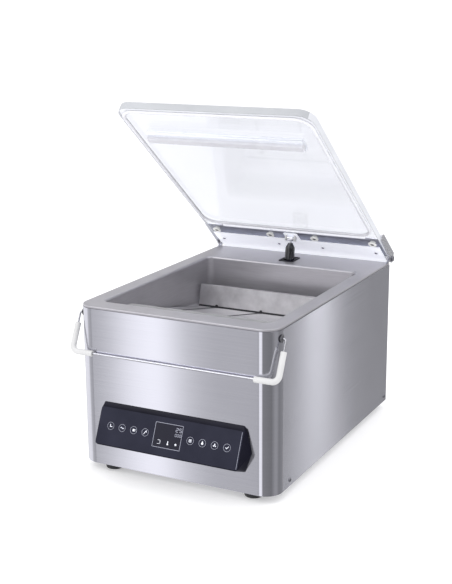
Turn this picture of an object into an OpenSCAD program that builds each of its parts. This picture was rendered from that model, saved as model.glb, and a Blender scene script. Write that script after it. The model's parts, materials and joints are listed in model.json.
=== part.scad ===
// Tabletop chamber vacuum packing machine, millimetres, +Z up, front towards -Y.
// The lid stands open at its stop and the wire bail hangs at the front.

/* [Casing] */
// Width of the steel casing
body_w = 330; // [320:1:350]
// Depth of the steel casing
body_d = 466; // [450:1:480]
// Height from the casing's lower edge to the deck
body_h = 250; // [245:1:260]
// Radius of the two upright front corners
corner_r = 27; // [20:1:30]
// Thickness of the casing sheet
sheet_t = 1.5; // [1:0.1:2]
// Height of the rubber feet
foot_h = 12; // [10:1:20]

/* [Chamber] */
// Width of the chamber opening
chamber_w = 280; // [260:1:284]
// Length of the chamber opening, front to back
chamber_l = 340; // [320:1:342]
// Distance from the casing's front to the chamber opening
chamber_front = 36; // [36:1:40]
// Depth of the chamber below the deck
chamber_depth = 80; // [70:1:82]
// Radius of the chamber's upright corners
chamber_r = 12; // [12:1:26]

/* [Lid] */
// Thickness of the clear lid
lid_t = 12; // [10:1:15]
// Half width of the clear lid
lid_half_w = 164; // [162:0.5:165]
// Angle at which the lid stands open
lid_open = 38.5; // [20:0.5:45]
// Distance from the casing's front to the hinge axis
pivot_y = 470; // [468:1:474]
// Height of the hinge axis above the casing's lower edge
pivot_z = 256; // [255:0.5:258]
// Distance from the casing's front to the closed lid's front edge
lid_front = 22; // [20:1:24]

/* [Seal bar] */
// Distance from the casing's front to the middle of the seal bar
seal_y = 94; // [90:1:100]
// Half length of the seal bar
seal_half = 130; // [110:1:132]
// Lift of the seal bar
seal_lift = 8; // [5:0.5:8]

/* [Bail] */
// Diameter of the bail wire
wire_d = 3; // [2.5:0.5:4]
// Outer diameter of the white sleeves on the bail's corners
sleeve_d = 9; // [7:0.5:9]
// Half width of the bail, to the middle of its arms
bail_half = 171.5; // [171:0.5:175]
// Length of the bail's arms, from pivot to crossbar
bail_arm = 62; // [58:1:66]

/* [Control panel] */
// Height of the panel's face, measured along its slope
face_len = 59; // [50:1:60]
// Half width of the panel's face
face_half = 121; // [110:1:124]
// Spacing of the round keys
key_pitch = 20; // [18:1:22]
// Travel of a key
key_travel = 0.5; // [0.3:0.1:0.5]

/* [Hidden] */
$fn = 48;

steel = [0.74, 0.74, 0.78];
bright_steel = [0.86, 0.87, 0.92];
dark_steel = [0.45, 0.45, 0.50];
black = [0.10, 0.10, 0.12];
slate = [0.17, 0.18, 0.24];
white = [0.94, 0.94, 0.95];
clear = [0.90, 0.92, 0.98, 0.5];
copper = [0.72, 0.42, 0.22];
green = [0.10, 0.40, 0.25];

// Casing and deck
half_w = body_w / 2;
seam_h = 0.8;              // shadow gap between the deck's rim and the casing
rim_h = 2.8;               // height of the deck's turned-down rim
casing_h = body_h - rim_h - seam_h;
inner_half = half_w - sheet_t;
fit = 0.1;                 // gap between parts that slip into each other
running = 0.05;            // radial clearance of a shaft in its bore
rear_corner = 3;
screw_y = [52, 455];       // the casing's side screws
screw_z = 10;
screw_r = 1.8;

// Chamber
floor_z = body_h - chamber_depth;
tub_t = 1.5;
deck_t = 1.5;

// Seal bar, which stops just below the lid's silicone strip when it is raised
strip_drop = 12.7;         // how far the silicone strip stands below the lid's inner face
element_t = 0.6;
seal_h = 15;
seal_gap = 0.4;

// Lid, in the lid's own frame: origin on the hinge axis, -Y towards the front edge, +Z outwards
lid_in = -3;               // inner face of the clear panel
lid_out = lid_in + lid_t;
lid_len = pivot_y - lid_front;
lid_back = 9;              // the clear panel's reach behind the hinge axis
lid_r = 24;
gasket_w = 6;
groove_t = 2;
gasket_drop = 2.6;         // how far the gasket stands below the inner face
gasket_half = 160;
gasket_front = chamber_front - gasket_w - 2.5;
gasket_rear = chamber_front + chamber_l + 4;
bolt_s = 56;               // bolts, measured from the hinge axis
bolt_x = [-148, -42, 42, 148];
screw_s = 24;
screw_x = [-146, -36, 48, 146];
rail_half = 159;
rail_t = 1.2;
rail_in = 46;              // reach of the rail's inner flange
rail_out = 63;             // reach of the rail's outer flange
rail_back = lid_back + 0.2;
arm_x = 165.6;
arm_t = 2.2;
ear_x = 161.2;
ear_t = 2.3;
pin_r = 3;

seal_low = pivot_z + lid_in - strip_drop - seal_gap - element_t - seal_h - seal_lift;

plate_gap = 2;              // between two of the sloped plates

// Gas strut, pinned to the lid and resting in a slotted base
strut_s = 60;
strut_n = -9;
strut_foot_y = 396;
strut_foot_z = 100;
strut_d = 17;
rod_d = 6;
cylinder_len = 118;
foot_pin_r = 2;
eye_bore = 4.4;            // the lower eye is wide on its pin, so the strut can lean freely
eye_r = 7;
strut_top_y = pivot_y - strut_s * cos(lid_open) + strut_n * sin(lid_open);
strut_top_z = pivot_z + strut_s * sin(lid_open) + strut_n * cos(lid_open);
strut_len = norm([strut_top_y - strut_foot_y, strut_top_z - strut_foot_z]);
strut_lean = atan2(strut_top_y - strut_foot_y, strut_top_z - strut_foot_z);

// Bail
bail_y = 22;
bail_z = 234;
bail_bend = 10;
bail_rest_gap = 0.3;
bail_lean = asin((bail_y + sleeve_d / 2 + bail_rest_gap) / bail_arm);
sleeve_end = 135;
bush_r = 4;

// Control panel: a sloped face on a six-sided foot
face_top_y = -5;
face_top_z = 99;
face_lean = 24;
face_t = 1;
housing_t = 2.5;
base_top = [119, 104];
base_side = [129, 64];
base_low = [119, 33];
key_r = 6;
key_gap = 0.3;
key_v = 28.5;
key_first = 38;
window_half = 23.5;
window_top = 9.5;
window_h = 37;

// Running gear under the chamber
motor_y = 250;
motor_z = 74;
shaft_r = 7;

// Rear fittings
inlet_x = -100;
inlet_z = 42;
switch_x = -40;
switch_z = 42;
rocker_tilt = 9;

// The part's origin is below the middle of its bounding box
rear_reach = pivot_y + rail_back * cos(lid_open) + rail_t * cos(lid_open)
             + (lid_out + rail_t + arm_t) * sin(lid_open);
front_reach = face_top_y - face_len * sin(face_lean) - (face_t + 0.4) * cos(face_lean);
mid_y = (rear_reach + front_reach) / 2;

// ---------------------------------------------------------------- helpers

module place() {
    translate([0, -mid_y, foot_h]) children();
}

module lid_frame() {
    translate([0, pivot_y, pivot_z]) rotate([-lid_open, 0, 0]) children();
}

module bail_frame() {
    translate([0, bail_y, bail_z]) rotate([-bail_lean, 0, 0]) children();
}

// X across, Y down the slope, Z out of the face
module face_frame() {
    translate([0, face_top_y, face_top_z]) rotate([-90 - face_lean, 0, 0]) rotate([180, 0, 0])
        mirror([0, 1, 0]) children();
}

module strut_frame() {
    translate([0, strut_top_y, strut_top_z]) rotate([-strut_lean, 0, 0]) children();
}

// A rectangle between two corners, with round corners
module rounded(x0, y0, x1, y1, r) {
    translate([x0 + r, y0]) square([x1 - x0 - 2 * r, y1 - y0]);
    translate([x0, y0 + r]) square([x1 - x0, y1 - y0 - 2 * r]);
    for (x = [x0 + r, x1 - r], y = [y0 + r, y1 - r]) translate([x, y]) circle(r);
}

// The casing's plan: two round corners at the front and tight ones at the back
module plan(inset, r_front, r_back) {
    a = half_w - inset;
    b = body_d - inset;
    translate([-a, inset + r_front]) square([2 * a, b - inset - r_front - r_back]);
    translate([-a + r_front, inset]) square([2 * (a - r_front), r_front + 1]);
    translate([-a + r_back, b - r_back - 1]) square([2 * (a - r_back), r_back + 1]);
    for (s = [-1, 1]) {
        translate([s * (a - r_front), inset + r_front]) circle(r_front);
        translate([s * (a - r_back), b - r_back]) circle(r_back);
    }
}

// A profile in the Y-Z plane, drawn as [y, z], stretched from x0 to x1
module along_x(x0, x1) {
    translate([x0, 0, 0]) rotate([90, 0, 90]) linear_extrude(x1 - x0) children();
}

module rod_x(x0, x1, r) {
    translate([x0, 0, 0]) rotate([0, 90, 0]) cylinder(h = x1 - x0, r = r);
}

module both_sides() {
    children();
    mirror([1, 0, 0]) children();
}

// ---------------------------------------------------------------- casing

module casing() {
    color(steel) place() difference() {
        linear_extrude(casing_h) difference() {
            plan(0, corner_r, 0.5);
            plan(sheet_t, corner_r - sheet_t, 0.5);
            translate([-inner_half, body_d - 20]) square([2 * inner_half, 40]);
        }
        both_sides() {
            translate([0, bail_y, bail_z]) rod_x(half_w - 8, half_w + 1, bush_r + running);
            for (y = screw_y) translate([0, y, screw_z]) rod_x(half_w - 8, half_w + 1, screw_r + running);
        }
        translate([-95, -1, 44]) cube([190, sheet_t + 2, 44]);
    }
}

module base_plate() {
    color(dark_steel) place() difference() {
        linear_extrude(sheet_t) plan(sheet_t + fit, corner_r - sheet_t - fit, 0.5);
        for (x = [-120 : 20 : 120]) translate([x - 3, 380, -1]) cube([6, 50, sheet_t + 2]);
    }
}

module rear_panel() {
    color(steel) place() difference() {
        translate([-inner_half + fit, body_d - sheet_t, sheet_t + fit])
            cube([2 * (inner_half - fit), sheet_t, casing_h - sheet_t - 2 * fit]);
        for (z = [120 : 12 : 204], x = [-110, 20])
            translate([x, body_d - 3, z]) cube([90, 6, 4]);
        translate([inlet_x - 14.2, body_d - 3, inlet_z - 10.2]) cube([28.4, 6, 20.4]);
        translate([switch_x - 10.2, body_d - 3, switch_z - 14.2]) cube([20.4, 6, 28.4]);
    }
}

// Dome-headed screws along the lower edge of each side
module casing_screws() {
    color(bright_steel) place() both_sides() for (y = screw_y)
        translate([half_w - 4, y, screw_z]) rotate([0, 90, 0]) {
            cylinder(h = 4, r = screw_r);
            translate([0, 0, 4]) intersection() {
                cylinder(h = 1.6, r = 3.4);
                translate([0, 0, -3]) sphere(4.6);
            }
        }
}

module rubber_feet() {
    color(black) place() for (x = [-120, 120], y = [25, 435]) translate([x, y, -foot_h])
        difference() {
            rotate_extrude() {
                square([11.5, foot_h]);
                translate([0, 3]) square([14.5, foot_h - 3]);
                translate([11.5, 3]) circle(3);
            }
            translate([0, 0, -1]) cylinder(h = 5, r = 4);
        }
}

// ---------------------------------------------------------------- chamber

module deck_outline(inset) {
    plan(inset, corner_r - inset, rear_corner - min(inset, 2));
}

module opening(grow) {
    rounded(-chamber_w / 2 - grow, chamber_front - grow,
            chamber_w / 2 + grow, chamber_front + chamber_l + grow, chamber_r + grow);
}

module chamber_tub() {
    color(steel) place() difference() {
        union() {
            translate([0, 0, body_h - deck_t]) linear_extrude(deck_t) difference() {
                deck_outline(0.3);
                opening(0);
            }
            translate([0, 0, body_h - rim_h]) linear_extrude(rim_h) difference() {
                deck_outline(0.3);
                deck_outline(2);
            }
            translate([0, 0, body_h - 10]) linear_extrude(10 - deck_t) difference() {
                deck_outline(sheet_t + fit);
                deck_outline(sheet_t + fit + 1.5);
            }
            translate([0, 0, floor_z - tub_t]) linear_extrude(chamber_depth) difference() {
                opening(tub_t);
                opening(0);
            }
            translate([0, 0, floor_z - tub_t]) linear_extrude(tub_t) opening(tub_t);
        }
        // passage of the gas strut
        translate([-10.5, 398, body_h - 5]) cube([21, 30, 10]);
        // notches round the hinge ears
        both_sides() translate([ear_x - 0.4, 450, body_h - 12]) cube([ear_t + 0.8, 30, 20]);
        // suction port behind the baffle
        translate([70, 357, floor_z - 5]) cylinder(h = 10, r = 6);
    }
}

module suction_baffle() {
    color(steel) place() along_x(-135, 135)
        polygon([[328, floor_z], [329.5, floor_z], [338.3, 206.6], [344, 206.6], [344, 208], [337, 208]]);
}

// Three sloped plates that lift the bag's mouth towards the seal bar
module filler_plates() {
    edges = [-134, -100, -15, 134];
    slope = [[118, floor_z], [120, floor_z], [120, 213.6], [320, 171.6], [320, floor_z],
             [322, floor_z], [322, 173.2], [118, 216]];
    color(steel) place() for (i = [0 : 2]) difference() {
        along_x(edges[i] + plate_gap / 2, edges[i + 1] - plate_gap / 2) polygon(slope);
        for (e = edges) translate([e, 323, floor_z - 1]) cylinder(h = 20, r = 6);
    }
}

module seal_cylinders() {
    color(dark_steel) place() for (x = [-85, 85]) translate([x, seal_y, floor_z]) difference() {
        union() {
            cylinder(h = 28, r = 14);
            cylinder(h = 4, r = 20);
        }
        translate([0, 0, 5]) cylinder(h = 30, r = 5 + running);
    }
}

module seal_pistons() {
    color(bright_steel) place() for (x = [-85, 85]) translate([x, seal_y, floor_z])
        translate([0, 0, 10]) cylinder(h = seal_low - floor_z - 10, r = 5);
}

module seal_bar() {
    color([0.7, 0.7, 0.72]) place() difference() {
        translate([-seal_half, seal_y - 7, seal_low]) cube([2 * seal_half, 14, seal_h]);
        for (s = [-1, 1]) translate([-seal_half - 1, seal_y + s * 7, seal_low + 7])
            rod_x(0, 2 * seal_half + 2, 2);
    }
}

module seal_element() {
    color([0.55, 0.38, 0.25]) place() {
        tape_t = element_t / 2;
        translate([-seal_half, seal_y - 6, seal_low + seal_h]) cube([2 * seal_half, 12, tape_t]);
        for (s = [-1, 1]) translate([-seal_half, seal_y + s * 2 - 1, seal_low + seal_h + tape_t])
            cube([2 * seal_half, 2, tape_t]);
    }
}

// ---------------------------------------------------------------- hinge and lid

module hinge_ears() {
    color(dark_steel) place() both_sides() difference() {
        along_x(ear_x, ear_x + ear_t) {
            polygon([[452, 180], [464, 180], [464, 249], [pivot_y, 250], [pivot_y, 262], [464, 254],
                     [452, 249]]);
            translate([pivot_y, pivot_z]) circle(6);
        }
        translate([0, pivot_y, pivot_z]) rod_x(ear_x - 1, ear_x + ear_t + 1, pin_r);
    }
}

// Shoulder pins, fast in the ears, with a round head outside the arms
module hinge_pins() {
    color(bright_steel) place() both_sides() translate([0, pivot_y, pivot_z]) {
        rod_x(ear_x - 0.9, arm_x + arm_t + 0.4, pin_r);
        rod_x(arm_x + arm_t + 0.4, arm_x + arm_t + 2.4, 4.6);
    }
}

module lid_outline() {
    translate([-lid_half_w, -lid_len + lid_r]) square([2 * lid_half_w, lid_len - lid_r - 12]);
    translate([-lid_half_w + lid_r, -lid_len]) square([2 * (lid_half_w - lid_r), lid_r + 1]);
    translate([-rail_half, -13]) square([2 * rail_half, 13 + lid_back]);
    for (s = [-1, 1]) translate([s * (lid_half_w - lid_r), -lid_len + lid_r]) circle(lid_r);
}

module gasket_ring(grow) {
    rounded(-gasket_half - grow, gasket_front - pivot_y - grow,
            gasket_half + grow, gasket_rear + gasket_w - pivot_y + grow, 26 + grow);
}

module lid_panel() {
    color(clear) place() lid_frame() difference() {
        translate([0, 0, lid_in]) linear_extrude(lid_t) lid_outline();
        translate([0, 0, lid_in - 1]) linear_extrude(groove_t + 1) difference() {
            gasket_ring(0);
            gasket_ring(-gasket_w);
        }
        for (x = bolt_x) translate([x, -bolt_s, lid_in - 1]) cylinder(h = lid_t + 2, r = 4.5);
        for (x = screw_x) translate([x, -screw_s, lid_in - 1]) cylinder(h = 8, r = 1.6);
    }
}

module lid_gasket() {
    color(white) place() lid_frame() translate([0, 0, lid_in - gasket_drop])
        linear_extrude(gasket_drop + groove_t) difference() {
            gasket_ring(0);
            gasket_ring(-gasket_w);
        }
}

module counter_bar() {
    color(bright_steel) place() lid_frame() difference() {
        translate([-132, seal_y - 12 - pivot_y, lid_in - 8]) cube([264, 24, 8]);
        translate([-133, seal_y - 6 - pivot_y, lid_in - 9]) cube([266, 12, 5]);
    }
}

module counter_strip() {
    color([0.85, 0.85, 0.88]) place() lid_frame()
        translate([-132, seal_y - 6 - pivot_y, lid_in - strip_drop]) cube([264, 12, strip_drop - 4]);
}

// Folded steel channel that holds the clear panel's rear edge
module lid_rail() {
    color(bright_steel) place() lid_frame() difference() {
        union() {
            along_x(-rail_half, rail_half) {
                translate([-rail_in, lid_in - rail_t]) square([rail_in + rail_back, rail_t]);
                translate([lid_back, lid_in - rail_t]) square([rail_t, lid_t + 2 * rail_t]);
                translate([-rail_out, lid_out]) square([rail_out + rail_back, rail_t]);
            }
            translate([-13, -strut_s - 9, lid_in - rail_t]) cube([26, 26, rail_t]);
        }
        for (x = bolt_x) translate([x, -bolt_s, lid_out - 1]) cylinder(h = 4, r = 3);
        for (x = screw_x) translate([x, -screw_s, lid_in - 3]) cylinder(h = 4, r = 1.6);
    }
}

// Side arms: an upright cheek on the hinge pin and a foot bolted on the lid's top
module hinge_arms() {
    color(bright_steel) place() lid_frame() both_sides() difference() {
        union() {
            along_x(arm_x, arm_x + arm_t) {
                circle(7);
                polygon([[0, -7], [7, 0], [2, lid_out + rail_t + arm_t], [-66, lid_out + rail_t + arm_t],
                         [-74, lid_out - 4], [-70, lid_in + 2], [-9, -5]]);
            }
            translate([136, -66, lid_out + rail_t]) cube([arm_x + arm_t - 136, 56, arm_t]);
        }
        rod_x(arm_x - 1, arm_x + arm_t + 1, pin_r + running);
        translate([bolt_x[3], -bolt_s, lid_out]) cylinder(h = 6, r = 3);
    }
}

module rail_bolts() {
    color(bright_steel) place() lid_frame() for (x = bolt_x) translate([x, -bolt_s, 0]) {
        top = lid_out + rail_t + (abs(x) > 100 ? arm_t : 0);
        translate([0, 0, lid_in + 1]) cylinder(h = top - lid_in - 1, r = 2.9);
        translate([0, 0, top]) cylinder(h = 3, r = 5);
    }
}

// White nylon bushes in the clear panel's bolt holes, with a low flange inside
module bolt_bushes() {
    color(white) place() lid_frame() for (x = bolt_x) translate([x, -bolt_s, 0]) difference() {
        union() {
            translate([0, 0, lid_in]) cylinder(h = lid_t, r = 4.5);
            translate([0, 0, lid_in - 2]) cylinder(h = 2, r = 7.3);
        }
        translate([0, 0, lid_in + 1]) cylinder(h = lid_t, r = 2.9);
    }
}

module rail_screws() {
    color(dark_steel) place() lid_frame() for (x = screw_x) translate([x, -screw_s, lid_in - rail_t]) {
        translate([0, 0, -1]) cylinder(h = 1, r = 3);
        cylinder(h = 6, r = 1.6);
    }
}

// ---------------------------------------------------------------- gas strut

module strut_bracket() {
    color(white) place() lid_frame() {
        for (s = [-1, 1]) along_x(s * 8.2 - 1.25, s * 8.2 + 1.25) {
            translate([-strut_s, strut_n]) circle(4.5);
            translate([-strut_s - 4.5, strut_n]) square([9, lid_in - rail_t - strut_n]);
        }
        translate([0, -strut_s, strut_n]) rod_x(-9.9, 9.9, 2.5);
    }
}

module strut_cylinder() {
    color(black) place() strut_frame() difference() {
        union() {
            rod_x(-5.5, 5.5, 4.4);
            translate([0, 0, -14]) cylinder(h = 11, r = 4);
            translate([0, 0, -cylinder_len]) cylinder(h = cylinder_len - 12, r = strut_d / 2);
        }
        rod_x(-6, 6, 2.5 + running);
        translate([0, 0, -cylinder_len - 1]) cylinder(h = cylinder_len - 20, r = rod_d / 2 + running);
    }
}

module strut_rod() {
    color(bright_steel) place() strut_frame() translate([0, 0, -strut_len]) difference() {
        union() {
            rod_x(-5, 5, eye_r);
            translate([0, 0, 1]) cylinder(h = strut_len - 63, r = rod_d / 2);
        }
        rod_x(-6, 6, eye_bore);
    }
}

// Floor bracket: two cheeks and a cross pin, which the strut's wide eye rides on
module strut_base() {
    color(dark_steel) place() {
        for (s = [-1, 1]) translate([s * 8 - 1, strut_foot_y - 16, sheet_t])
            cube([2, 32, strut_foot_z + 12 - sheet_t]);
        translate([-7, strut_foot_y - 16, sheet_t]) cube([14, 32, 3]);
        translate([0, strut_foot_y, strut_foot_z]) rod_x(-8, 8, foot_pin_r);
    }
}

module strut_bezel() {
    color(black) place() translate([0, 0, body_h]) linear_extrude(1.2) difference() {
        rounded(-14, 394.5, 14, 431.5, 5);
        rounded(-10.5, 398, 10.5, 428, 2);
    }
}

// ---------------------------------------------------------------- bail

// One side of the bail, from its pivot to the crossbar, as a round bar of radius r
module bail_arm_side(r, from_z) {
    translate([bail_half, 0, -bail_arm + bail_bend]) cylinder(h = bail_arm - bail_bend + from_z, r = r);
    translate([bail_half - bail_bend, 0, -bail_arm + bail_bend]) rotate([90, 0, 0])
        rotate([0, 0, -90]) rotate_extrude(angle = 90) translate([bail_bend, 0]) circle(r);
}

// The cross-section of a sleeve
module sleeve_ring() {
    difference() {
        circle(sleeve_d / 2);
        circle(wire_d / 2 + running);
    }
}

module bail_wire() {
    r = wire_d / 2;
    hook = 4;
    color(bright_steel) place() bail_frame() {
        translate([0, 0, -bail_arm]) rod_x(-bail_half + bail_bend, bail_half - bail_bend, r);
        both_sides() {
            bail_arm_side(r, -hook);
            translate([bail_half - hook, 0, -hook]) rotate([90, 0, 0])
                rotate_extrude(angle = 90) translate([hook, 0]) circle(r);
            rod_x(158, bail_half - hook, r);
        }
    }
}

module bail_sleeves() {
    top = 18;
    straight = bail_half - bail_bend;
    color(white) place() bail_frame() both_sides() {
        translate([bail_half, 0, -bail_arm + bail_bend])
            linear_extrude(bail_arm - bail_bend - top) sleeve_ring();
        translate([straight, 0, -bail_arm + bail_bend]) rotate([90, 0, 0]) rotate([0, 0, -90])
            rotate_extrude(angle = 90) translate([bail_bend, 0]) sleeve_ring();
        translate([sleeve_end, 0, -bail_arm]) rotate([0, 90, 0])
            linear_extrude(straight - sleeve_end) sleeve_ring();
    }
}

module bail_bushings() {
    color(black) place() both_sides() translate([0, bail_y, bail_z]) difference() {
        union() {
            rod_x(160, half_w, bush_r);
            rod_x(half_w, half_w + 0.9, 6);
        }
        rod_x(157, half_w + 2, wire_d / 2 + running);
    }
}

// ---------------------------------------------------------------- control panel

module panel_foot(inset) {
    rotate([90, 0, 0]) linear_extrude(0.4)
        polygon([for (s = [-1, 1], p = s < 0 ? [base_low, base_side, base_top]
                                             : [base_top, base_side, base_low])
                 [s * (p[0] - inset), p[1] + (p[1] > 90 ? -inset : p[1] < 40 ? inset : 0)]]);
}

module panel_solid(inset, sink) {
    hull() {
        panel_foot(inset);
        face_frame() translate([0, 0, -sink - 0.4]) linear_extrude(0.4)
            rounded(-face_half + inset, inset, face_half - inset, face_len - inset, 3);
    }
}

module panel_housing() {
    color(black) place() difference() {
        panel_solid(0, 0);
        translate([0, 1, 0]) panel_solid(housing_t, housing_t);
        face_frame() for (i = [0 : 7]) translate([key_x(i), key_v, -5]) cylinder(h = 9, r = 2.8);
    }
}

function key_x(i) = (i < 4 ? -1 : 1) * (key_first + key_pitch * (i < 4 ? 3 - i : i - 4));

module panel_fascia() {
    color(slate) place() face_frame() linear_extrude(face_t) difference() {
        rounded(-face_half + 1.5, 1.5, face_half - 1.5, face_len - 1.5, 2);
        for (i = [0 : 7]) translate([key_x(i), key_v]) circle(key_r + key_gap);
        translate([-window_half, window_top]) square([2 * window_half, window_h]);
    }
}

module display_window() {
    color(black) place() face_frame() translate([-window_half + 0.05, window_top + 0.05, 0])
        cube([2 * window_half - 0.1, window_h - 0.1, face_t]);
}

module key(i) {
    low = key_travel + 0.1;
    color(slate) place() face_frame() translate([key_x(i), key_v, 0]) rotate_extrude()
        polygon([[0, -4], [2.5, -4], [2.5, low], [key_r, low], [key_r, face_t + 0.1],
                 [key_r - 0.4, face_t + 0.3], [0, face_t + 0.4]]);
}

module control_board() {
    color(green) place() {
        translate([-100, 12, 36]) cube([200, 1.6, 66]);
        for (x = [-70, -20, 30]) translate([x, 13.6, 50]) cube([24, 14, 30]);
        for (x = [-86, 66, 82]) translate([x, 13.6, 70]) rotate([-90, 0, 0]) cylinder(h = 20, r = 6);
        for (x = [-94, 94], z = [42, 96]) translate([x, sheet_t, z])
            rotate([-90, 0, 0]) cylinder(h = 12 - sheet_t, r = 2.5);
    }
}

// ---------------------------------------------------------------- running gear

module on_shaft() {
    translate([0, motor_y, motor_z]) children();
}

module pump_body() {
    color(dark_steel) place() on_shaft() difference() {
        union() {
            translate([-110, -48, -50]) cube([96, 96, 96]);
            translate([-116, -56, -motor_z + sheet_t]) cube([108, 112, 12]);
            translate([-100, -40, -motor_z + sheet_t + 11]) cube([76, 80, 20]);
            for (y = [-40 : 16 : 40]) translate([-108, y - 2, 45]) cube([92, 4, 8]);
        }
        translate([0, 0, 3.4]) rod_x(-102, -28, 30);
        rod_x(-29, 0, shaft_r + running);
        translate([-62, 0, 40]) cylinder(h = 20, r = 7);
        translate([-62, 40, -10]) rotate([-90, 0, 0]) cylinder(h = 20, r = 7);
    }
}

module pump_rotor() {
    color(steel) place() on_shaft() difference() {
        rod_x(-101, -29, 26);
        rod_x(-102, -28, shaft_r);
        for (a = [0 : 120 : 240]) rotate([a, 0, 0]) translate([-102, -2, 10]) cube([74, 4, 20]);
    }
}

module motor_shaft() {
    color(bright_steel) place() on_shaft() rod_x(-101, 142, shaft_r);
}

module pump_motor() {
    color([0.35, 0.37, 0.42]) place() on_shaft() difference() {
        union() {
            rod_x(-14, 116, 44);
            rod_x(-14, -6, 52);
            for (x = [2 : 9 : 110]) rod_x(x, x + 3, 50);
            translate([10, -46, -motor_z + sheet_t]) cube([80, 92, 6]);
            translate([20, -30, -motor_z + sheet_t + 5]) cube([60, 60, 30]);
            translate([24, -58, -12]) cube([54, 18, 40]);
        }
        rod_x(-20, 120, shaft_r + running);
        rod_x(0, 104, 34);
    }
}

module motor_fan() {
    color(black) place() on_shaft() difference() {
        union() {
            rod_x(122, 138, 14);
            for (a = [0 : 360 / 7 : 359]) rotate([a, 0, 0]) translate([130, 0, 0])
                rotate([0, 0, 30]) translate([-1, -7, 12]) cube([2, 14, 29]);
        }
        rod_x(121, 139, shaft_r);
    }
}

module fan_cover() {
    color([0.35, 0.37, 0.42]) place() on_shaft() difference() {
        rod_x(113, 150, 50);
        rod_x(117, 148.5, 48.5);
        rod_x(112, 118, 44);
        for (a = [0 : 30 : 330], r = [16, 28, 40]) rotate([a, 0, 0])
            translate([0, 0, r]) rod_x(147, 152, 3);
    }
}

module oil_sight() {
    color([0.8, 0.7, 0.3]) place() on_shaft() translate([-62, -48, -22]) rotate([90, 0, 0])
        cylinder(h = 5, r = 9);
}

module exhaust_filter() {
    color([0.20, 0.22, 0.26]) place() on_shaft() {
        translate([-62, 84, -40]) cylinder(h = 100, r = 28);
        translate([-62, 84, 60]) cylinder(h = 8, r = 20);
        translate([-62, 48, -10]) rotate([-90, 0, 0]) cylinder(h = 12, r = 12);
    }
}

module transformer_core() {
    color(dark_steel) place() translate([60, 70, sheet_t]) difference() {
        cube([80, 60, 66]);
        for (x = [13.3, 53.3]) translate([x, -1, 13]) cube([13.4, 62, 40]);
    }
}

module transformer_coil() {
    color(copper) place() translate([60, 70, sheet_t]) difference() {
        translate([14, -12, 14]) cube([52, 84, 38]);
        translate([26.6, -0.1, 10]) cube([26.8, 60.2, 46]);
    }
}

module valve_block() {
    color([0.70, 0.70, 0.72]) place() translate([20, 410, 60]) {
        cube([100, 30, 30]);
        for (x = [16, 50, 84]) translate([x, 15, 30]) cylinder(h = 34, r = 11);
        translate([16, 15, -58.5]) cylinder(h = 60, r = 5);
        translate([84, 15, -58.5]) cylinder(h = 60, r = 5);
    }
}

// Hose from the chamber's suction port, past the rear of the motor, to the valve block
module vacuum_hose() {
    bend = 22;
    elbow_z = 97;
    color([0.25, 0.12, 0.12]) place() {
        translate([70, 357, elbow_z]) cylinder(h = floor_z - tub_t - elbow_z, r = 7);
        translate([70, 357 + bend, elbow_z]) rotate([0, 90, 0]) rotate([0, 0, 90])
            rotate_extrude(angle = 90) translate([bend, 0]) circle(7);
        translate([70, 357 + bend, elbow_z - bend]) rotate([-90, 0, 0]) cylinder(h = 410 - 357 - bend, r = 7);
    }
}

// ---------------------------------------------------------------- rear fittings

module power_inlet() {
    color(black) place() translate([inlet_x, body_d, inlet_z]) {
        difference() {
            union() {
                translate([-25, 0, -13]) cube([50, 3, 26]);
                translate([-14, -22, -10]) cube([28, 23, 20]);
            }
            translate([-12, -17, -8]) cube([24, 30, 16]);
            for (s = [-1, 1]) translate([s * 20, 5, 0]) rotate([90, 0, 0]) cylinder(h = 6, r = 1.6);
        }
        for (x = [-7, 0, 7]) translate([x - 1, -17.5, (x == 0 ? 2 : -2) - 2.5]) cube([2, 13, 5]);
    }
}

module switch_bezel() {
    color(black) place() translate([switch_x, body_d, switch_z]) difference() {
        union() {
            translate([-13, 0, -17]) cube([26, 2.4, 34]);
            translate([-10, -20, -14]) cube([20, 21, 28]);
        }
        translate([-8.5, -12, -12.5]) cube([17, 30, 25]);
    }
}

// The rocker tilts about a cross axis just behind the bezel's face
module rocker_switch() {
    color([0.75, 0.08, 0.06]) place() translate([switch_x, body_d - 2, switch_z])
        rotate([-rocker_tilt, 0, 0]) along_x(-8, 8)
            polygon([[-5, -8], [2, -11.3], [7.2, -10.9], [4.6, 0], [7.2, 10.9], [2, 11.3], [-5, 8]]);
}

// ---------------------------------------------------------------- assembly

casing();
base_plate();
rear_panel();
casing_screws();
rubber_feet();
chamber_tub();
suction_baffle();
filler_plates();
seal_cylinders();
hinge_ears();
hinge_pins();
strut_bezel();
strut_base();
bail_bushings();
panel_housing();
panel_fascia();
display_window();
control_board();
pump_body();
pump_motor();
fan_cover();
oil_sight();
exhaust_filter();
transformer_core();
transformer_coil();
valve_block();
vacuum_hose();
power_inlet();
switch_bezel();
rocker_switch();
motor_shaft();
motor_fan();
pump_rotor();
seal_bar();
seal_element();
seal_pistons();
lid_panel();
lid_gasket();
counter_bar();
counter_strip();
lid_rail();
hinge_arms();
rail_bolts();
bolt_bushes();
rail_screws();
strut_bracket();
strut_cylinder();
strut_rod();
bail_wire();
bail_sleeves();
key(0);  // key_1
key(1);  // key_2
key(2);  // key_3
key(3);  // key_4
key(4);  // key_5
key(5);  // key_6
key(6);  // key_7
key(7);  // key_8
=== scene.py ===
import json
import math

import bmesh
import bpy
from mathutils import Matrix, Vector


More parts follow.
